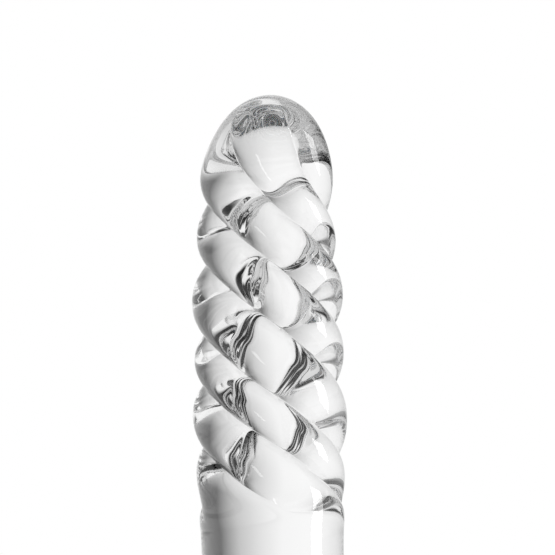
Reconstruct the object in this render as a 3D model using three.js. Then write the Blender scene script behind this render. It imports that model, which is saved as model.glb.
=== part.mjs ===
// A clear glass dip pen: four glass canes twisted into a rope at the crown end, a smooth barrel,
// a waisted finger grip, a steel ferrule, and a fluted glass nib that pulls out of the ferrule.
// Millimetres, +Z up. The pen's axis is Z, with the crown at the top and the writing point at the
// bottom, and the origin is on the axis in the middle of the finger grip.

import * as THREE from "three";

// Driving dimensions.
const penLength = 175;
const pointZ = -51; // the writing point
const crownZ = pointZ + penLength; // the small flat on top of the crown
const boreRadius = 3; // of the ferrule, which the nib and the grip's tenon go into
const fit = 0.1; // clearance round what sits in the bore
const joint = 0.05; // left between faces that are fused or bonded together
const seam = 0.15; // half of what is left between two canes
const roundSides = 32;

// Depths are measured down from the crown.
const rope = {
  length: 33.8, // from the crown to the barrel
  lead: 17.8, // height of one full turn; the turn is left-handed
  looseShare: 0.25, // how fast the rope turns at the crown, as a share of the rate below
  looseFrom: 2.5, // depth where the rate starts to rise
  looseOver: 7.3, // and the depth that it takes
  domeHeight: 6.54,
  crownRadius: 4.87, // of the ridges just under the dome
  swell: 0.72, // how much wider the rope is at its middle
  shrink: 0.42, // and how much of that it loses where it meets the barrel
  lean: 0.42, // how far the crown stands off the axis, to the right
  leanOver: 8, // the depth over which it comes back to the axis
  nod: 1.8, // how far the crown stands to the front
  nodOver: 6.5,
  grooveDepth: 0.33, // as a share of the radius
  grooveOver: 8, // depth over which the grooves open
  shallowBy: 0.3, // the share of that depth that is lost lower down
  shallowFrom: 18,
  shallowOver: 8,
  fadeFrom: 27.5, // depth where the grooves start to run out
  fadeOver: 4,
  flatness: 2.2, // of the canes' crests
  steepness: 0.6, // of the grooves' sides, where less is steeper
  firstGroove: 27.4, // degrees, the untwisted direction of the groove after the last cane
};

// The canes in order round the axis: how much of the turn each takes, and how proud it stands.
const canes = [
  { name: "cane_thick", span: 107.1, proud: 1.01 },
  { name: "cane_thin", span: 72.9, proud: 0.975 },
  { name: "cane_even", span: 90.1, proud: 1.01 },
  { name: "cane_low", span: 89.9, proud: 0.985 },
];

const button = { radius: 1.5, flatRadius: 1.2, depth: 1.4, chamfer: 0.35 };
const barrel = { topRadius: rope.crownRadius + rope.swell - rope.shrink, bottomRadius: 4.6, bottomZ: 13 };
const barrelTopZ = crownZ - rope.length;

const ferrule = { topZ: -12, bottomZ: -25, radius: 4.1, lipRadius: 3.6, grooveDepth: 0.3, grooveWidth: 0.6 };
const tenonLength = 4.5;
const cushionThickness = 1;
const tenonEndZ = ferrule.topZ - tenonLength;
const cushionTopZ = tenonEndZ - joint;
const cushionEndZ = cushionTopZ - cushionThickness;

const nib = {
  shankRadius: 2.4,
  grooveRadius: 2.05, // under each O-ring
  grooveWidth: 1.1,
  collarRadius: 3.5,
  neckRadius: 2.7,
  bellyRadius: 4.1,
  tipRadius: 0.35,
  flutes: 10,
  fluteDepth: 0.24, // as a share of the radius
  turns: -0.7, // of the flutes from neck to tip, the same hand as the rope
};
const nibSeatZ = ferrule.bottomZ - joint;
const ringSection = 0.42;
const ringHeights = [cushionEndZ - 1.9, cushionEndZ - 5.1];

// One material for each finish.
const clearGlass = new THREE.MeshStandardMaterial({ color: 0xf4f6f6, roughness: 0.02, metalness: 0 });
const polishedSteel = new THREE.MeshStandardMaterial({ color: 0xc4c6c8, roughness: 0.18, metalness: 1 });
const blackRubber = new THREE.MeshStandardMaterial({ color: 0x161617, roughness: 0.6, metalness: 0 });
const milkySilicone = new THREE.MeshStandardMaterial({ color: 0xd9dcdc, roughness: 0.5, metalness: 0 });

const pen = new THREE.Group();

function addMesh(name, geometry, material) {
  const mesh = new THREE.Mesh(geometry, material);
  mesh.name = name;
  pen.add(mesh);
  return mesh;
}

// A turned piece: its profile is [radius, height] pairs from the bottom to the top.
function turned(name, profile, material, sides = roundSides) {
  const points = profile.map(([radius, height]) => new THREE.Vector2(radius, height));
  return addMesh(name, new THREE.LatheGeometry(points, sides).rotateX(Math.PI / 2), material);
}

function smoothStep(from, to, value) {
  return THREE.MathUtils.smoothstep(value, from, to);
}

// A closed body through rings of points that all have the same count. crossed(j) tells whether
// the quads after point j are split along their other diagonal.
function loft(rings, crossed = () => false) {
  const count = rings[0].length;
  const positions = rings.flat().flatMap((p) => [p.x, p.y, p.z]);
  const index = [];
  for (let i = 0; i + 1 < rings.length; i++) {
    for (let j = 0; j < count; j++) {
      const a = i * count + j;
      const b = i * count + ((j + 1) % count);
      const c = a + count;
      const d = b + count;
      index.push(...(crossed(j) ? [a, b, c, b, d, c] : [a, b, d, a, d, c]));
    }
  }
  const cap = (ring) => THREE.ShapeUtils.triangulateShape(ring.map((p) => new THREE.Vector2(p.x, p.y)), []);
  const last = (rings.length - 1) * count;
  for (const [a, b, c] of cap(rings[0])) index.push(a, c, b);
  for (const [a, b, c] of cap(rings[rings.length - 1])) index.push(last + a, last + b, last + c);
  return new THREE.BufferGeometry()
    .setAttribute("position", new THREE.Float32BufferAttribute(positions, 3))
    .setIndex(index);
}

function polar(radius, angle, height) {
  return new THREE.Vector3(radius * Math.cos(angle), radius * Math.sin(angle), height);
}

// ---- the twisted rope ----

// How far the rope has turned at a depth below the crown, in radians.
function ropeTurn(depth) {
  const x = Math.max(0, (depth - rope.looseFrom) / rope.looseOver);
  const eased = x < 1 ? x ** 3 - x ** 4 / 2 : x - 0.5;
  const run = rope.looseShare * depth + (1 - rope.looseShare) * rope.looseOver * eased;
  return (2 * Math.PI * run) / rope.lead;
}

// The radius of the ridges at a depth below the crown.
function ropeRadius(depth) {
  const dome = depth < rope.domeHeight ? Math.sqrt(1 - (1 - depth / rope.domeHeight) ** 2) : 1;
  const swollen = rope.crownRadius + rope.swell * smoothStep(3, 18, depth);
  return dome * (swollen - rope.shrink * smoothStep(26, rope.length, depth));
}

// The rope's middle at a depth.
function ropeMiddle(depth) {
  const aside = rope.lean * (1 - smoothStep(0, rope.leanOver, depth));
  const ahead = rope.nod * (1 - smoothStep(0, rope.nodOver, depth));
  return new THREE.Vector3(aside, -ahead, crownZ - depth);
}

// The rope's radius at a share of the way across a cane, from -1 at one groove to 1 at the next.
function caneRadius(cane, share, depth) {
  const over = (from, depths) => smoothStep(from, from + depths, depth);
  const fade = over(0, rope.grooveOver) * (1 - over(rope.fadeFrom, rope.fadeOver));
  const shallow = 1 - rope.shallowBy * over(rope.shallowFrom, rope.shallowOver);
  const floor = 1 - rope.grooveDepth * fade * shallow;
  const ridge = 1 + (cane.proud - 1) * fade;
  const round = (1 - Math.min(1, Math.abs(share)) ** rope.flatness) ** rope.steepness;
  return ropeRadius(depth) * (floor + (ridge - floor) * round);
}

// A cane fills its share of the rope out to the lobe, and clears the crown's button.
function makeCane(cane, fromAngle) {
  const acrossSteps = 8;
  const downSteps = 42;
  const topDepth = 0.7;
  const coreRadius = 0.45;
  const socketRadius = button.radius + 0.3;
  const socketDepth = button.depth + 0.3;
  const span = THREE.MathUtils.degToRad(cane.span);
  const sections = [];
  for (let i = downSteps; i >= 0; i--) {
    const depth = topDepth + (rope.length - joint - topDepth) * (i / downSteps) ** 1.15;
    sections.push([depth, depth < socketDepth ? socketRadius : coreRadius]);
  }
  const firstInSocket = sections.findIndex(([depth]) => depth < socketDepth);
  sections.splice(firstInSocket, 0, [socketDepth, coreRadius], [socketDepth, socketRadius]);

  const rings = sections.map(([depth, innerRadius]) => {
    const start = fromAngle + ropeTurn(depth);
    const middle = ropeMiddle(depth);
    const ring = [];
    for (let j = 0; j <= acrossSteps; j++) {
      const share = Math.sin((Math.PI / 2) * (-1 + (2 * j) / acrossSteps));
      const radius = caneRadius(cane, share, depth);
      const trim = Math.asin(seam / radius);
      const angle = start + trim + ((share + 1) / 2) * (span - 2 * trim);
      ring.push(polar(radius, angle, 0).add(middle));
    }
    const innerTrim = Math.asin(seam / innerRadius);
    const innerSpan = span - 2 * innerTrim;
    for (const k of [0, 1, 2]) {
      const angle = start + span - innerTrim - (k / 2) * innerSpan;
      ring.push(polar(innerRadius, angle, 0).add(middle));
    }
    return ring;
  });
  const startWall = acrossSteps + 3;
  return loft(rings, (j) => j === startWall);
}

let fromAngle = THREE.MathUtils.degToRad(rope.firstGroove);
for (const cane of canes) {
  fromAngle -= THREE.MathUtils.degToRad(cane.span);
  addMesh(cane.name, makeCane(cane, fromAngle), clearGlass);
}

// The button of glass that seals the four canes, with a small flat on top.
const crownButton = turned(
  "crown_button",
  [
    [0, crownZ - button.depth],
    [button.radius, crownZ - button.depth],
    [button.radius, crownZ - button.chamfer],
    [button.flatRadius, crownZ],
    [0, crownZ],
  ],
  clearGlass,
  24,
);
const buttonMiddle = ropeMiddle(button.depth / 2);
crownButton.position.set(buttonMiddle.x, buttonMiddle.y, 0);

// ---- the handle below the rope ----

turned(
  "barrel",
  [
    [0, barrel.bottomZ],
    [barrel.bottomRadius, barrel.bottomZ],
    [barrel.topRadius - 0.15, barrelTopZ - 25],
    [barrel.topRadius, barrelTopZ - 8],
    [barrel.topRadius, barrelTopZ],
    [0, barrelTopZ],
  ],
  clearGlass,
);

// The grip: a tenon, a swelling that stops the fingers, a waist, and a second swelling.
function gripRadius(z) {
  const waist = 4.25;
  const lower = 0.85 * Math.exp(-(((z + 8.6) / 2.1) ** 2));
  const upper = 0.95 * Math.exp(-(((z - 8.8) / 2.4) ** 2));
  const flare = (barrel.bottomRadius - waist) * smoothStep(6, barrel.bottomZ, z);
  return waist + lower + upper + flare;
}

function gripProfile() {
  const top = barrel.bottomZ - joint;
  const shoulder = ferrule.topZ + joint;
  const steps = 24;
  const profile = [
    [0, tenonEndZ],
    [boreRadius - fit, tenonEndZ],
    [boreRadius - fit, shoulder],
    [ferrule.radius - 0.2, shoulder],
  ];
  for (let i = 1; i <= steps; i++) {
    const z = shoulder + ((top - shoulder) * i) / steps;
    profile.push([gripRadius(z), z]);
  }
  return [...profile, [0, top]];
}
turned("finger_grip", gripProfile(), clearGlass);

// ---- the ferrule and what it holds ----

function ferruleProfile() {
  const { topZ, bottomZ, radius, lipRadius, grooveDepth, grooveWidth } = ferrule;
  const outside = [
    [boreRadius, bottomZ],
    [lipRadius, bottomZ],
    [radius - 0.1, bottomZ + 1.2],
  ];
  for (const z of [bottomZ + 2.6, bottomZ + 4, topZ - 2.4]) {
    outside.push([radius, z], [radius - grooveDepth, z]);
    outside.push([radius - grooveDepth, z + grooveWidth], [radius, z + grooveWidth]);
  }
  return [...outside, [radius, topZ - 0.3], [radius - 0.3, topZ], [boreRadius, topZ], [boreRadius, bottomZ]];
}
turned("ferrule", ferruleProfile(), polishedSteel);

turned(
  "cushion_disc",
  [
    [0, cushionEndZ],
    [boreRadius - fit, cushionEndZ],
    [boreRadius - fit, cushionTopZ],
    [0, cushionTopZ],
  ],
  milkySilicone,
  24,
);

for (const [i, height] of ringHeights.entries()) {
  const radius = boreRadius - 0.08 - ringSection;
  const geometry = new THREE.TorusGeometry(radius, ringSection, 8, roundSides);
  addMesh(["o_ring_upper", "o_ring_lower"][i], geometry.translate(0, 0, height), blackRubber);
}

// ---- the nib ----

// The nib's plain radius from the collar down to the point, before the flutes are cut.
function nibRadius(z) {
  const t = (nibSeatZ - 1 - z) / (nibSeatZ - 1 - pointZ);
  const neck = nib.neckRadius + (nib.bellyRadius - nib.neckRadius) * smoothStep(0, 0.3, t);
  const taper = 1 - smoothStep(0.2, 1.25, t) ** 0.9;
  return Math.max(nib.tipRadius, neck * (t < 0.2 ? 1 : taper) - 0.2 * t);
}

function makeNib() {
  const perFlute = 4;
  const count = nib.flutes * perFlute;
  const rings = [];
  const addRing = (z, radius, depth, turn) => {
    const ring = [];
    for (let j = 0; j < count; j++) {
      const angle = (2 * Math.PI * j) / count;
      const across = (2 * (j % perFlute)) / perFlute - 1; // -1 in the groove, 0 on the crest
      const cut = depth * Math.abs(across) ** 2;
      ring.push(polar(radius * (1 - cut), angle + turn, z));
    }
    rings.push(ring);
  };
  const turnAt = (z) => (2 * Math.PI * nib.turns * (z - nibSeatZ)) / (nibSeatZ - pointZ);
  addRing(pointZ, nib.tipRadius * 0.6, 0, turnAt(pointZ));
  const steps = 24;
  for (let i = 0; i <= steps; i++) {
    const z = pointZ + 0.3 + ((nibSeatZ - 1.6 - pointZ - 0.3) * i) / steps;
    const fade = smoothStep(0, 2, z - pointZ) * (1 - smoothStep(-7, -1.6, z - nibSeatZ));
    addRing(z, nibRadius(z), nib.fluteDepth * fade, turnAt(z));
  }
  const halfWidth = nib.grooveWidth / 2;
  addRing(nibSeatZ - 1.2, nib.collarRadius, 0, 0);
  addRing(nibSeatZ, nib.collarRadius, 0, 0);
  addRing(nibSeatZ, nib.shankRadius, 0, 0);
  for (const height of ringHeights.toReversed()) {
    addRing(height - halfWidth, nib.shankRadius, 0, 0);
    addRing(height - halfWidth, nib.grooveRadius, 0, 0);
    addRing(height + halfWidth, nib.grooveRadius, 0, 0);
    addRing(height + halfWidth, nib.shankRadius, 0, 0);
  }
  addRing(cushionEndZ - joint - 0.4, nib.shankRadius, 0, 0);
  addRing(cushionEndZ - joint, nib.shankRadius - 0.4, 0, 0);
  return loft(rings);
}
addMesh("nib", makeNib(), clearGlass);

export default pen;
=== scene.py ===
import math
import bpy
import numpy as np
from mathutils import Matrix, Vector


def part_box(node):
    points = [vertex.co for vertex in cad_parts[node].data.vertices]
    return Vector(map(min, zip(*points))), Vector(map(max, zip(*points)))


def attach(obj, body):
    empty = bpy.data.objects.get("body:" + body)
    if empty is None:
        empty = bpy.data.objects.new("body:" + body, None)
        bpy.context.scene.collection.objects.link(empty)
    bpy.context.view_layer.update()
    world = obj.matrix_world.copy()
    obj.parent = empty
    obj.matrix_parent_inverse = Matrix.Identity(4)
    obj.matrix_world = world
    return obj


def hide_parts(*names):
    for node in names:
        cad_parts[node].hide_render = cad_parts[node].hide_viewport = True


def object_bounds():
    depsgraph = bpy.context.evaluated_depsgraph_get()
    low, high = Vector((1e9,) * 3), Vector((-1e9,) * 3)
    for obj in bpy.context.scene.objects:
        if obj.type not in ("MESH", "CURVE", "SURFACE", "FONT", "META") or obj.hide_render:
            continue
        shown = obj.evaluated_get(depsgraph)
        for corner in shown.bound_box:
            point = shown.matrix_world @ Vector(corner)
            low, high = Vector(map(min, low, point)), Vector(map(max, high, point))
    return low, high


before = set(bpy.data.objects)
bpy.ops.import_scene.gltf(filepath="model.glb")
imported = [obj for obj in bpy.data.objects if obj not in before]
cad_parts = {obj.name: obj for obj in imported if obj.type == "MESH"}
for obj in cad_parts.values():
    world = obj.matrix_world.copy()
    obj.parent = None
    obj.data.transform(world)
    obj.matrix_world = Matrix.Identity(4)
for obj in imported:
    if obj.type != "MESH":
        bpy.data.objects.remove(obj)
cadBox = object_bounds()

# A clear glass dip pen, all in metres, upright on its axis with the crown at the top
mm = 0.001


class Signal:  # one socket that can take part in sums
    def __init__(self, shader, socket):
        self.shader = shader
        self.socket = socket

    def sum(self, operation, first, second):
        return self.shader.add("ShaderNodeMath", {"operation": operation}, {0: first, 1: second})

    def __add__(self, other):
        return self.sum("ADD", self, other)

    def __radd__(self, other):
        return self.sum("ADD", other, self)

    def __mul__(self, other):
        return self.sum("MULTIPLY", self, other)

    def __rmul__(self, other):
        return self.sum("MULTIPLY", other, self)

    def __truediv__(self, other):
        return self.sum("DIVIDE", self, other)

    def __rtruediv__(self, other):
        return self.sum("DIVIDE", other, self)

    def __gt__(self, other):
        return self.sum("GREATER_THAN", self, other)

    def __lt__(self, other):
        return self.sum("LESS_THAN", self, other)


class Shader:  # a material's nodes, or the world's
    def __init__(self, owner):
        owner.use_nodes = True
        self.tree = owner.node_tree
        self.tree.nodes.clear()

    def add(self, kind, settings=None, inputs=None, output=0):
        node = self.tree.nodes.new(kind)
        for name, value in (settings or {}).items():
            if name == "stops":
                setStops(node.color_ramp, value)
            else:
                setattr(node, name, value)
        for name, value in (inputs or {}).items():
            socket = node.inputs[name]
            if isinstance(value, Signal):
                self.tree.links.new(value.socket, socket)
            else:
                socket.default_value = value
        return Signal(self, node.outputs[output])

    def mix(self, share, first, second):  # of two colours
        return self.add("ShaderNodeMix", {"data_type": "RGBA"}, {0: share, 6: first, 7: second}, 2)

    def split(self, vector):
        first = self.add("ShaderNodeSeparateXYZ", inputs={0: vector})
        return [Signal(self, socket) for socket in first.socket.node.outputs]

    def finish(self, surface, kind="ShaderNodeOutputMaterial"):
        output = self.tree.nodes.new(kind)
        self.tree.links.new(surface.socket, output.inputs["Surface"])


def setStops(ramp, stops):
    while len(ramp.elements) < len(stops):
        ramp.elements.new(0.5)
    for element, (position, shade) in zip(ramp.elements, stops):
        element.position = position
        element.color = (*shade, 1) if isinstance(shade, tuple) else (shade, shade, shade, 1)


def newMaterial(name):
    material = bpy.data.materials.new(name)
    return material, Shader(material)


glassFinish = {
    "ior": 1.5,
    "polish": 0.006,  # roughness of the fire-polished skin
    "haze": 0.012,  # and how much rougher it gets in faint patches
    "ripple": 0.08,  # of the skin, left by the flame
    "rippleSize": 1.6 * mm,
    "drawLines": 0.02,  # fine lines along the pen, left by the drawing
    "drawLineSize": 0.35 * mm,
    "drawLineStretch": 0.06,  # along the pen, lower is longer
    "relief": 0.02 * mm,  # height of all of these
    "patchScale": 120.0,
}


def makeClearGlass():
    material, shader = newMaterial("clearGlass")
    place = shader.add("ShaderNodeTexCoord", output="Object")
    ripple = shader.add("ShaderNodeTexNoise", inputs={
        "Vector": place, "Scale": 1 / glassFinish["rippleSize"], "Detail": 1.0, "Roughness": 0.4})
    stretched = shader.add("ShaderNodeMapping", inputs={
        "Vector": place, "Scale": (1, 1, glassFinish["drawLineStretch"])})
    lines = shader.add("ShaderNodeTexNoise", inputs={
        "Vector": stretched, "Scale": 1 / glassFinish["drawLineSize"], "Detail": 1.0})
    height = ripple * glassFinish["ripple"] + lines * glassFinish["drawLines"]
    bump = shader.add("ShaderNodeBump", inputs={
        "Height": height, "Strength": 0.25, "Distance": glassFinish["relief"]})
    patches = shader.add("ShaderNodeTexNoise", inputs={
        "Vector": place, "Scale": glassFinish["patchScale"], "Detail": 3.0})
    shader.finish(shader.add("ShaderNodeBsdfPrincipled", inputs={
        "Base Color": (1, 1, 1, 1),
        "Roughness": patches * glassFinish["haze"] + glassFinish["polish"],
        "IOR": glassFinish["ior"],
        "Transmission Weight": 1.0,
        "Normal": bump,
    }))
    return material


def makeFusedSeam():
    material, shader = newMaterial("fusedSeam")  # where two glass pieces have melted into one
    shader.finish(shader.add("ShaderNodeBsdfPrincipled", inputs={"Base Color": (1, 1, 1, 1), "Alpha": 0.0}))
    return material


steelFinish = {
    "dark": (0.60, 0.60, 0.61),
    "light": (0.69, 0.69, 0.70),
    "polish": 0.06,
    "turning": 0.08,  # how much rougher the lines round it are, left by the lathe
    "turningScale": 9000.0,
    "turningStretch": 0.04,
    "turningRelief": 0.01 * mm,
    "smudge": 0.14,  # and how much rougher it is where it has been held
    "smudgeScale": 400.0,
}


def makePolishedSteel():
    material, shader = newMaterial("polishedSteel")
    place = shader.add("ShaderNodeTexCoord", output="Object")
    stretch = steelFinish["turningStretch"]
    stretched = shader.add("ShaderNodeMapping", inputs={"Vector": place, "Scale": (stretch, stretch, 1)})
    turning = shader.add("ShaderNodeTexNoise", inputs={
        "Vector": stretched, "Scale": steelFinish["turningScale"], "Detail": 4.0})
    smudges = shader.add("ShaderNodeTexNoise", inputs={
        "Vector": place, "Scale": steelFinish["smudgeScale"], "Detail": 4.0})
    bump = shader.add("ShaderNodeBump", inputs={
        "Height": turning, "Strength": 0.12, "Distance": steelFinish["turningRelief"]})
    stops = [(0.3, steelFinish["dark"]), (0.7, steelFinish["light"])]
    rough = turning * steelFinish["turning"] + smudges * steelFinish["smudge"] + steelFinish["polish"]
    shader.finish(shader.add("ShaderNodeBsdfPrincipled", inputs={
        "Base Color": shader.add("ShaderNodeValToRGB", {"stops": stops}, {0: smudges}),
        "Metallic": 1.0,
        "Roughness": rough,
        "Normal": bump,
    }))
    return material


rubberGrain = {"scale": 5000.0, "relief": 0.02 * mm, "roughness": 0.2}


def makeRubber(name, dark, light, roughness, subsurface=0.0):
    material, shader = newMaterial(name)
    place = shader.add("ShaderNodeTexCoord", output="Object")
    grain = shader.add("ShaderNodeTexNoise", inputs={
        "Vector": place, "Scale": rubberGrain["scale"], "Detail": 3.0})
    shade = shader.add("ShaderNodeValToRGB", {"stops": [(0.3, dark), (0.7, light)]}, {0: grain})
    bump = shader.add("ShaderNodeBump", inputs={
        "Height": grain, "Strength": 0.3, "Distance": rubberGrain["relief"]})
    shader.finish(shader.add("ShaderNodeBsdfPrincipled", inputs={
        "Base Color": shade,
        "Roughness": grain * rubberGrain["roughness"] + roughness,
        "Subsurface Weight": subsurface,
        "Normal": bump,
    }))
    return material


clearGlass = makeClearGlass()
fusedSeam = makeFusedSeam()
polishedSteel = makePolishedSteel()
blackRubber = makeRubber("blackRubber", (0.010, 0.010, 0.011), (0.028, 0.028, 0.030), 0.45)
milkySilicone = makeRubber("milkySilicone", (0.66, 0.68, 0.68), (0.80, 0.82, 0.82), 0.4, 0.4)
print("materials made")

sharpAngle = 38  # degrees, above which an edge looks sharp
roundingSteps = 6


def anglesRound(count):
    return np.linspace(0, 2 * math.pi, count, endpoint=False)


fineAngles = anglesRound(144)


def smooth(low, high, value):
    t = np.clip((value - low) / (high - low), 0, 1)
    return t * t * (3 - 2 * t)


def makePiece(name, points, faces, materials, slots=None):
    mesh = bpy.data.meshes.new(name)
    mesh.from_pydata([tuple(p) for p in points], [], faces)
    for material in materials:
        mesh.materials.append(material)
    if slots is not None:
        mesh.polygons.foreach_set("material_index", slots)
    mesh.polygons.foreach_set("use_smooth", [True] * len(mesh.polygons))
    mesh.update()
    mesh.set_sharp_from_angle(angle=math.radians(sharpAngle))
    piece = bpy.data.objects.new(name, mesh)
    bpy.context.scene.collection.objects.link(piece)
    return piece


# A piece from rings of points. A ring of one point closes an end, and closed joins the last to the first.
# fused holds the steps between rings where the piece has melted into its neighbour.
def loftPiece(name, rings, materials, fused=(), closed=False):
    points = []
    numbered = []
    for ring in rings:
        numbered.append(range(len(points), len(points) + len(ring)))
        points += list(ring)
    wide = max(len(ring) for ring in numbered)
    above = numbered[1:] + numbered[:1] if closed else numbered[1:]
    faces = []
    slots = []
    for step, (low, high) in enumerate(zip(numbered, above)):
        for i in range(wide):
            j = (i + 1) % wide
            corners = (low[i % len(low)], low[j % len(low)], high[j % len(high)], high[i % len(high)])
            faces.append(tuple(dict.fromkeys(corners)))
            slots.append(1 if step in fused else 0)
    return makePiece(name, points, faces, materials, slots)


def circle(radius, height, angles):
    if radius == 0:
        return [(0, 0, height)]
    return [(radius * math.cos(a), radius * math.sin(a), height) for a in angles]


def turnedPiece(name, outline, materials, angles, fused=(), closed=False):
    rings = [circle(radius, height, angles) for radius, height in outline]
    return loftPiece(name, rings, materials, fused, closed)


# The corners are (radius, height, rounding). Each rounded one becomes a short curve.
def roundedOutline(corners):
    outline = []
    for i, (radius, height, rounding) in enumerate(corners):
        corner = np.array((radius, height))
        if rounding == 0:
            outline.append(tuple(corner))
            continue
        before = np.array(corners[i - 1][:2]) - corner
        after = np.array(corners[(i + 1) % len(corners)][:2]) - corner
        enter = corner + before / np.linalg.norm(before) * rounding
        leave = corner + after / np.linalg.norm(after) * rounding
        for t in np.linspace(0, 1, roundingSteps):
            outline.append(tuple((1 - t) ** 2 * enter + 2 * t * (1 - t) * corner + t**2 * leave))
    return outline


def finishPiece(piece, body, node):
    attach(piece, body)
    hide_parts(node)


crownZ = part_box("crown_button")[1].z
barrelLow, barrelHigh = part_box("barrel")

rope = {
    "lead": 17.8 * mm,  # one full turn, left-handed
    "looseShare": 0.25,  # how fast it turns at the crown, as a share of the rate below
    "looseFrom": 2.5 * mm,
    "looseOver": 7.3 * mm,
    "domeHeight": 6.54 * mm,
    "crownRadius": 4.87 * mm,
    "swell": 0.72 * mm,  # how much wider it gets
    "swellFrom": 3 * mm,
    "swellTo": 18 * mm,
    "shrink": 0.42 * mm,  # and how much of that it loses where it meets the barrel
    "shrinkFrom": 26 * mm,
    "lean": 0.42 * mm,  # of the crown, to the right
    "leanOver": 8 * mm,
    "nod": 1.8 * mm,  # of the crown, to the front
    "nodOver": 6.5 * mm,
    "grooveDepth": 0.33,
    "fillet": 0.05,  # how rounded the floor of a groove is
    "flatness": 2.2,  # of the canes' crests
    "steepness": 0.6,  # of the grooves' sides, lower is steeper
    "grooveOver": 8 * mm,  # depth that the grooves take to open
    "shallowFrom": 18 * mm,
    "shallowOver": 8 * mm,
    "shallowBy": 0.3,
    "fadeFrom": 27.5 * mm,
    "fadeOver": 4 * mm,
    "length": crownZ - barrelHigh.z,
    "firstGroove": 27.4,  # degrees, where the groove after the last cane starts at the crown
    "buttonRadius": 1.2 * mm,
    "buttonRings": 8,
    "rowsOnDome": 110,
    "rowsBelow": 460,
    "stepsAcross": 40,
    "slopeShare": 1e-4,  # the small steps that a slope is measured over
    "slopeDepth": 1e-3 * mm,
}
canes = {  # how much of the turn each takes, and how proud it stands
    "cane_thick": {"span": 107.1, "proud": 1.01},
    "cane_thin": {"span": 72.9, "proud": 0.975},
    "cane_even": {"span": 90.1, "proud": 1.01},
    "cane_low": {"span": 89.9, "proud": 0.985},
}


def ropeTurn(depth):  # the rate of turn rises smoothly to its full value
    x = np.maximum(0, (depth - rope["looseFrom"]) / rope["looseOver"])
    eased = np.where(x < 1, x**3 - x**4 / 2, x - 0.5)
    run = rope["looseShare"] * depth + (1 - rope["looseShare"]) * rope["looseOver"] * eased
    return 2 * math.pi * run / rope["lead"]


def ropeRadius(depth):
    over = np.clip(1 - depth / rope["domeHeight"], 0, 1)
    swollen = rope["crownRadius"] + rope["swell"] * smooth(rope["swellFrom"], rope["swellTo"], depth)
    lost = rope["shrink"] * smooth(rope["shrinkFrom"], rope["length"], depth)
    return np.sqrt(1 - over**2) * (swollen - lost)


def caneRadius(proud, share, depth):
    shallow = 1 - rope["shallowBy"] * smooth(0, rope["shallowOver"], depth - rope["shallowFrom"])
    closed = smooth(0, rope["fadeOver"], depth - rope["fadeFrom"])
    fade = smooth(0, rope["grooveOver"], depth) * (1 - closed)
    floor = 1 - rope["grooveDepth"] * fade * shallow
    ridge = 1 + (proud - 1) * fade
    bend = rope["fillet"]
    side = 1 - np.abs(share) ** rope["flatness"]
    power = rope["steepness"] / 2
    base = bend ** (2 * power)
    lobe = ((side**2 + bend**2) ** power - base) / ((1 + bend**2) ** power - base)
    return ropeRadius(depth) * (floor + (ridge - floor) * lobe)


def ropeMiddle(depth):
    aside = rope["lean"] * (1 - smooth(0, rope["leanOver"], depth))
    ahead = rope["nod"] * (1 - smooth(0, rope["nodOver"], depth))
    return np.stack([aside, -ahead, crownZ - depth], axis=-1)


def skinPoint(cane, start, share, depth):
    radius = caneRadius(cane["proud"], share, depth)
    angle = start + (share + 1) / 2 * math.radians(cane["span"]) + ropeTurn(depth)
    outward = np.stack([radius * np.cos(angle), radius * np.sin(angle), 0 * angle], axis=-1)
    return ropeMiddle(depth) + outward


def skinNormal(cane, start, share, depth):
    aside, down = rope["slopeShare"], rope["slopeDepth"]
    bounded = np.clip(share, -1 + aside, 1 - aside)
    across = skinPoint(cane, start, bounded + aside, depth) - skinPoint(cane, start, bounded - aside, depth)
    along = skinPoint(cane, start, share, depth + down) - skinPoint(cane, start, share, depth - down)
    normal = np.cross(along, across)
    return normal / np.linalg.norm(normal, axis=-1, keepdims=True)


def depthRows():
    first = math.asin(rope["buttonRadius"] / rope["crownRadius"])
    dome = rope["domeHeight"] * (1 - np.cos(np.linspace(first, math.pi / 2, rope["rowsOnDome"])))
    below = np.linspace(rope["domeHeight"], rope["length"], rope["rowsBelow"] + 1)[1:]
    return np.concatenate([dome, below])


def caneShares():  # closer together towards the grooves
    return np.sin(np.linspace(-math.pi / 2, math.pi / 2, rope["stepsAcross"] + 1))


def makeCane(name, cane, start):
    rows = depthRows()
    shares = caneShares()
    shareGrid, depthGrid = np.meshgrid(shares, rows)
    skin = skinPoint(cane, start, shareGrid, depthGrid)
    normal = skinNormal(cane, start, shareGrid, depthGrid).reshape(-1, 3)
    wide = len(shares)
    tall = len(rows)
    points = list(skin.reshape(-1, 3))
    core = len(points)
    points += list(ropeMiddle(rows))
    faces = []
    slots = []
    for i in range(tall - 1):
        for j in range(wide - 1):
            a = i * wide + j
            faces.append((a, a + wide, a + wide + 1, a + 1))
            slots.append(0)
        for edge, flip in ((0, False), (wide - 1, True)):
            a = i * wide + edge
            wall = (a, core + i, core + i + 1, a + wide)
            faces.append(wall[::-1] if flip else wall)
            slots.append(1)
    for j in range(wide - 1):
        faces.append((core, j, j + 1))
        slots.append(1)
        a = (tall - 1) * wide + j
        faces.append((core + tall - 1, a + 1, a))
        slots.append(1)
    piece = makePiece(name, points, faces, [clearGlass, fusedSeam], slots)
    setSkinNormals(piece, normal)
    return piece


def setSkinNormals(piece, normals):
    mesh = piece.data
    loops = []
    for face in mesh.polygons:
        for vertex in face.vertices:
            loops.append(tuple(normals[vertex]) if face.material_index == 0 else tuple(face.normal))
    mesh.normals_split_custom_set(loops)


def makeCanes():
    start = math.radians(rope["firstGroove"])
    for node, cane in canes.items():
        start -= math.radians(cane["span"])
        cane["start"] = start
        name = "twisted" + node.title().replace("_", "")
        finishPiece(makeCane(name, cane, start), "handle", node)


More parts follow.
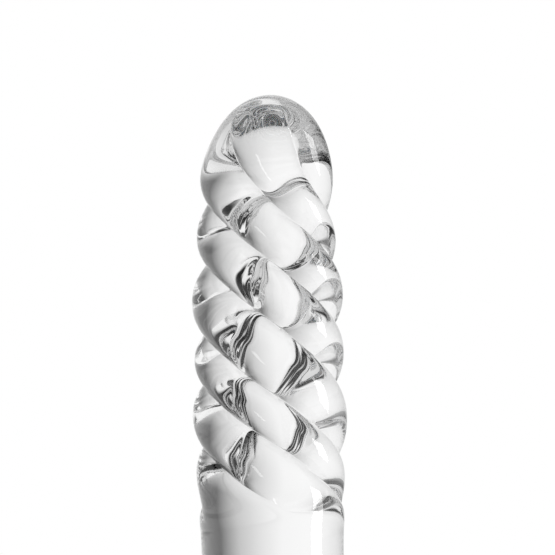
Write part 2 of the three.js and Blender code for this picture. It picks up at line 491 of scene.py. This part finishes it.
# The rope's skin points at a depth, all the way round, so that what joins it meets it point to point
def ropeRing(depth):
    ring = []
    for cane in reversed(canes.values()):
        ring += list(skinPoint(cane, cane["start"], caneShares()[:-1], depth))
    return ring


# The last bit of the dome, which seals the canes
def makeButton():
    first = depthRows()[0]
    shares = np.linspace(1, 0, rope["buttonRings"])[:-1]
    rings = [[ropeMiddle(first)]]
    rings += [ropeRing(depth) for depth in first * shares**2]
    rings += [[ropeMiddle(0)]]
    cap = loftPiece("crownButtonCap", rings, [clearGlass, fusedSeam], fused=[0])
    finishPiece(cap, "handle", "crown_button")


makeCanes()
makeButton()
print("twisted rope made")

# The smooth rod below the rope, and the grip that is melted onto it
barrel = {
    "bottomRadius": 4.6 * mm,
    "bend": 1.3,  # how late the rod starts to narrow
    "rows": 120,
}
grip = {
    "waist": 4.25 * mm,
    "lowerSwell": (0.85 * mm, -8.6 * mm, 2.1 * mm),  # how proud, where, and how wide
    "upperSwell": (0.95 * mm, 8.8 * mm, 2.4 * mm),
    "flareFrom": 6 * mm,
    "rows": 110,
    "tenonGap": 0.1 * mm,
    "tenonLength": 4.5 * mm,
    "rounding": 0.35 * mm,
}
ferruleLow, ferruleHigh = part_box("ferrule")
ringDirections = [math.atan2(p[1], p[0]) for p in ropeRing(rope["length"])]
ropeEndRadius = rope["crownRadius"] + rope["swell"] - rope["shrink"]


def makeBarrel():
    top = crownZ - rope["length"]
    tall = top - barrelLow.z
    outline = [(0, barrelLow.z)]
    for t in np.linspace(1, 0, barrel["rows"]):
        radius = ropeEndRadius - (ropeEndRadius - barrel["bottomRadius"]) * t ** barrel["bend"]
        outline.append((radius, top - t * tall))
    outline.append((0, top))
    last = len(outline) - 2
    rod = turnedPiece("smoothBarrel", outline, [clearGlass, fusedSeam], ringDirections, fused=[0, last])
    finishPiece(rod, "handle", "barrel")


def gripRadius(z):
    flare = smooth(grip["flareFrom"], barrelLow.z, z)
    radius = grip["waist"] + (barrel["bottomRadius"] - grip["waist"]) * flare
    for proud, place, wide in (grip["lowerSwell"], grip["upperSwell"]):
        radius += proud * np.exp(-(((z - place) / wide) ** 2))
    return radius


def makeGrip():
    shoulder = ferruleHigh.z
    tenonEnd = shoulder - grip["tenonLength"]
    tenonRadius = nib["bore"] - grip["tenonGap"]
    corners = [
        (0, tenonEnd, 0),
        (tenonRadius, tenonEnd, grip["rounding"]),
        (tenonRadius, shoulder, 0),
        (gripRadius(shoulder), shoulder, grip["rounding"]),
        (gripRadius(shoulder + grip["rounding"]), shoulder + grip["rounding"], 0),
    ]
    outline = roundedOutline(corners)
    outline += [(gripRadius(z), z) for z in
                np.linspace(shoulder + grip["rounding"], barrelLow.z, grip["rows"])[1:]]
    outline.append((0, barrelLow.z))
    last = len(outline) - 2
    glass = turnedPiece("fingerGripGlass", outline, [clearGlass, fusedSeam], ringDirections, fused=[last])
    finishPiece(glass, "handle", "finger_grip")


# The fluted nib, and the soft rings that hold it in the ferrule
nibLow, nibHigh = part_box("nib")
nib = {
    "bore": 3.0 * mm,  # of the ferrule
    "shankRadius": 2.4 * mm,
    "grooveRadius": 2.05 * mm,
    "grooveWidth": 1.1 * mm,
    "grooveEdge": 0.08 * mm,  # roundings
    "grooveFoot": 0.15 * mm,
    "shankEdge": 0.5 * mm,
    "shankFoot": 0.1 * mm,
    "collarRadius": 3.5 * mm,
    "collarHeight": 1.2 * mm,
    "collarUnder": 0.4 * mm,  # height over which it runs out to the neck
    "collarLowEdge": 0.3 * mm,
    "collarTopEdge": 0.2 * mm,
    "bellyFrom": 1 * mm,  # below the ferrule
    "neckRadius": 2.7 * mm,
    "bellyRadius": 4.1 * mm,
    "bellyAt": 0.3,  # of the way to the point
    "taperFrom": 0.2,
    "taperTo": 1.25,
    "taperBend": 0.9,
    "taperDraw": 0.2 * mm,
    "tipRadius": 0.35 * mm,
    "tipRings": 8,
    "flutes": 10,
    "fluteDepth": 0.24,  # as a share of the radius
    "fluteStart": (1.6 * mm, 7 * mm),  # below the ferrule, where they begin and where they are full
    "fluteEnd": 2 * mm,  # above the point, where they begin to run out
    "turns": -0.7,  # of the flutes from the neck to the point
    "stepsPerFlute": 16,
    "rows": 260,
}


def nibRadius(t):  # from 0 at the collar to 1 at the point
    wide = nib["neckRadius"] + (nib["bellyRadius"] - nib["neckRadius"]) * smooth(0, nib["bellyAt"], t)
    taper = 1 - smooth(nib["taperFrom"], nib["taperTo"], t) ** nib["taperBend"]
    return max(nib["tipRadius"], wide * taper - nib["taperDraw"] * t)


def makeNib():
    seat = ferruleLow.z
    tall = seat - nibLow.z
    count = nib["flutes"] * nib["stepsPerFlute"]
    angles = anglesRound(count)
    across = np.abs(2 * (np.arange(count) % nib["stepsPerFlute"]) / nib["stepsPerFlute"] - 1)

    def fluted(radius, z, share):
        turn = 2 * math.pi * nib["turns"] * (z - seat) / tall
        radii = radius * (1 - nib["fluteDepth"] * share * across**2)
        return [(r * math.cos(a), r * math.sin(a), z) for r, a in zip(radii, angles + turn)]

    point = nib["tipRadius"]
    rings = [[(0, 0, nibLow.z)]]
    for a in np.linspace(0, math.pi / 2, nib["tipRings"])[1:]:
        rings.append(fluted(point * math.sin(a), nibLow.z + point * (1 - math.cos(a)), 0))
    neckZ = seat - nib["collarHeight"] - nib["collarUnder"]
    start, full = nib["fluteStart"]
    for z in np.linspace(nibLow.z + point, neckZ, nib["rows"])[1:]:
        t = (seat - nib["bellyFrom"] - z) / (tall - nib["bellyFrom"])
        share = smooth(0, nib["fluteEnd"], z - nibLow.z) * (1 - smooth(-full, -start, z - seat))
        rings.append(fluted(nibRadius(t), z, share))
    corners = [
        (nib["neckRadius"], neckZ, 0),
        (nib["collarRadius"], seat - nib["collarHeight"], nib["collarLowEdge"]),
        (nib["collarRadius"], seat, nib["collarTopEdge"]),
        (nib["shankRadius"], seat, nib["shankFoot"]),
    ]
    for node in ("o_ring_lower", "o_ring_upper"):
        low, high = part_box(node)
        middle = (low.z + high.z) / 2
        lower, upper = middle - nib["grooveWidth"] / 2, middle + nib["grooveWidth"] / 2
        corners += [
            (nib["shankRadius"], lower, nib["grooveEdge"]),
            (nib["grooveRadius"], lower, nib["grooveFoot"]),
            (nib["grooveRadius"], upper, nib["grooveFoot"]),
            (nib["shankRadius"], upper, nib["grooveEdge"]),
        ]
    corners += [(nib["shankRadius"], nibHigh.z, nib["shankEdge"]), (0, nibHigh.z, 0)]
    for radius, z in roundedOutline(corners)[1:]:
        rings.append(circle(radius, z, angles + 2 * math.pi * nib["turns"] * (neckZ - seat) / tall))
    finishPiece(loftPiece("flutedNib", rings, [clearGlass]), "nib", "nib")


sealRing = {"section": 0.42 * mm, "stepsRound": 20}  # radius of the rubber itself


def makeRings():
    section = sealRing["section"]
    for name, node in (("upperSealRing", "o_ring_upper"), ("lowerSealRing", "o_ring_lower")):
        low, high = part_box(node)
        middle = (low.z + high.z) / 2
        outline = [(high.x - section + section * math.cos(a), middle + section * math.sin(a))
                   for a in anglesRound(sealRing["stepsRound"])]
        ring = turnedPiece(name, outline, [blackRubber], fineAngles, closed=True)
        finishPiece(ring, "nib", node)


# The steel ferrule, turned with three fine grooves, and the soft disc inside it
ferrule = {
    "lipRadius": 3.6 * mm,
    "lipHeight": 1.2 * mm,
    "lipSlope": 0.1 * mm,  # left to its full radius at the lip's top
    "grooveHeights": (2.6 * mm, 4.0 * mm, 10.6 * mm),  # above its lower end
    "grooveWidth": 0.6 * mm,
    "grooveDepth": 0.3 * mm,
    "edge": 0.12 * mm,  # roundings
    "fineEdge": 0.06 * mm,
    "lipEdge": 0.36 * mm,
    "topEdge": 0.3 * mm,
}
cushion = {"edge": 0.3 * mm}


def makeFerrule():
    low, high = ferruleLow.z, ferruleHigh.z
    radius = ferruleHigh.x
    edge = ferrule["edge"]
    corners = [
        (nib["bore"], low, edge),
        (ferrule["lipRadius"], low, edge),
        (radius - ferrule["lipSlope"], low + ferrule["lipHeight"], ferrule["lipEdge"]),
    ]
    for height in ferrule["grooveHeights"]:
        under, over = low + height, low + height + ferrule["grooveWidth"]
        floor = radius - ferrule["grooveDepth"]
        fine = ferrule["fineEdge"]
        corners += [(radius, under, fine), (floor, under, edge), (floor, over, edge), (radius, over, fine)]
    corners += [(radius, high, ferrule["topEdge"]), (nib["bore"], high, edge)]
    tube = turnedPiece("turnedFerrule", roundedOutline(corners), [polishedSteel], fineAngles, closed=True)
    finishPiece(tube, "handle", "ferrule")


def makeCushion():
    low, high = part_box("cushion_disc")
    edge = cushion["edge"]
    corners = [(0, low.z, 0), (high.x, low.z, edge), (high.x, high.z, edge), (0, high.z, 0)]
    disc = turnedPiece("cushionDisc", roundedOutline(corners), [milkySilicone], fineAngles)
    finishPiece(disc, "handle", "cushion_disc")


makeBarrel()
makeGrip()
print("barrel and grip made")
makeNib()
makeRings()
makeFerrule()
makeCushion()
print("nib and ferrule made")

shot = {
    "distance": 260 * mm,
    "width": 40.8 * mm,
    "depth": 13.25 * mm,  # below the crown
    "aside": 0.76 * mm,
    "elevation": -6,
    "roll": -1.17,
    "sensor": 36.0,
}


def makeCamera():
    data = bpy.data.cameras.new("camera")
    data.sensor_width = shot["sensor"]
    data.lens = shot["sensor"] * shot["distance"] / shot["width"]
    data.clip_start = 10 * mm
    data.clip_end = 50.0
    camera = bpy.data.objects.new("camera", data)
    bpy.context.scene.collection.objects.link(camera)
    tilt = math.radians(shot["elevation"])
    back = Vector((0, -math.cos(tilt), math.sin(tilt)))
    aim = Vector((shot["aside"], 0, crownZ - shot["depth"]))
    camera.location = aim + back * shot["distance"]
    facing = (-back).to_track_quat("-Z", "Y").to_matrix()
    camera.rotation_euler = (facing @ Matrix.Rotation(math.radians(shot["roll"]), 3, "Z")).to_euler()
    bpy.context.scene.camera = camera


makeCamera()

studio = {
    "floorDrop": 10 * mm,  # below the writing point
    "floorRadius": 4.0,
    "floorSides": 96,
    "background": 1.0,
    "lightFrom": -90.0,  # bearing in degrees, clockwise from straight behind the pen
    "lightPeriod": 180.0,  # after which it repeats
    "light": [(0.0, 0.60), (0.11, 0.88), (0.25, 0.92), (0.39, 0.96), (0.47, 0.92), (0.54, 0.74),
              (0.60, 0.56), (0.65, 0.30), (0.69, 0.10), (0.80, 0.10), (0.88, 0.12), (1.0, 0.60)],
    "glow": [(0.28, 0.75), (0.42, 0.27), (0.5, 0.0)],  # how much of it is paler again, by height
    "glowShade": 0.85,
    "outsideBefore": 2.5,  # how many of the glass's walls light has met when it was only reflected outside
    "innerAfter": 4.5,  # and when it has been reflected two or more times inside
    "innerFrom": -45.0,
    "innerPeriod": 90.0,
    "inner": [(0.0, 0.95), (0.16, 0.85), (0.26, 0.02), (0.45, 0.01), (0.52, 0.60), (0.56, 0.02), (0.76, 0.02),
              (0.86, 0.85), (1.0, 0.95)],
    "low": [(0.0, 1.0), (0.14, 0.9), (0.36, 0.0)],  # how pale the inner light is, by height
    "lowShade": 0.72,
    "trappedShade": 0.03,  # of light that meets four or more of the glass's walls inside
    "trappedAfter": 6.5,
    "lostShade": 0.62,  # and of light that has run to and fro in the rod
    "lostAfter": 8.5,
    "wallsMet": 64,  # at most, before light is given up
    # Lights that only outside reflections meet: from and to a bearing, from and to a height, and how bright
    "flashes": [(93.0, 114.5, -0.60, 0.05, 7.0), (-153.0, -146.0, -0.50, -0.17, 4.0)],
}


def grey(shade):
    return (shade, shade, shade, 1)


def makeWorld():
    world = bpy.data.worlds.new("studio")
    bpy.context.scene.world = world
    shader = Shader(world)
    way = shader.add("ShaderNodeTexCoord", output="Generated")
    east, north, up = shader.split(way)
    height = up * 0.5 + 0.5
    bearing = shader.add("ShaderNodeMath", {"operation": "ARCTAN2"}, {0: east, 1: north}) * math.degrees(1)

    def around(name):  # a ramp by bearing
        turned = (bearing + (360 - studio[name + "From"])) / studio[name + "Period"]
        place = shader.add("ShaderNodeMath", {"operation": "FRACT"}, {0: turned})
        return shader.add("ShaderNodeValToRGB", {"stops": studio[name]}, {0: place})

    bounces = shader.add("ShaderNodeLightPath", output="Ray Depth")
    low = shader.add("ShaderNodeValToRGB", {"stops": studio["low"]}, {0: height})
    inner = shader.mix(bounces > studio["trappedAfter"], around("inner"), grey(studio["trappedShade"]))
    inner = shader.mix(low, inner, grey(studio["lowShade"]))
    deep = shader.mix(bounces > studio["lostAfter"], inner, grey(studio["lostShade"]))
    glow = shader.add("ShaderNodeValToRGB", {"stops": studio["glow"]}, {0: height})
    light = shader.mix(glow, around("light"), grey(studio["glowShade"]))
    for left, right, bottom, top, strength in studio["flashes"]:
        within = (bearing > left) * (bearing < right) * (up > bottom) * (up < top)
        light = shader.mix(within * (bounces < studio["outsideBefore"]), light, grey(strength))
    through = shader.mix(bounces > studio["innerAfter"], light, deep)
    seen = shader.add("ShaderNodeLightPath", output="Is Camera Ray")
    spread = shader.add("ShaderNodeLightPath", output="Is Diffuse Ray")
    colour = shader.mix(seen + spread > 0.5, through, grey(1))
    shader.finish(shader.add("ShaderNodeBackground", inputs={
        "Color": colour, "Strength": studio["background"]}), "ShaderNodeOutputWorld")
    world.cycles.sampling_method = "NONE"  # the light depends on the path, so it is only met, never aimed at


def makeFloor():
    material, shader = newMaterial("paleFloor")
    place = shader.add("ShaderNodeTexCoord", output="Object")
    grain = shader.add("ShaderNodeTexNoise", inputs={"Vector": place, "Scale": 40.0})
    shader.finish(shader.add("ShaderNodeBsdfPrincipled", inputs={
        "Base Color": shader.add("ShaderNodeValToRGB", {"stops": [(0, 0.90), (1, 0.93)]}, {0: grain}),
        "Roughness": 0.8,
        "Specular IOR Level": 0.1,
    }))
    low = cadBox[0].z - studio["floorDrop"]
    sides = studio["floorSides"]
    ring = circle(studio["floorRadius"], low, anglesRound(sides))
    floor = makePiece("floor", ring, [tuple(range(sides))], [material])
    floor.visible_transmission = False  # so that the glass is lit from all round, below too
    floor.visible_glossy = False


makeWorld()
makeFloor()
bpy.context.scene.view_settings.view_transform = "Standard"
for limit in ("max_bounces", "transmission_bounces", "glossy_bounces", "transparent_max_bounces"):
    setattr(bpy.context.scene.cycles, limit, studio["wallsMet"])
print("studio made")
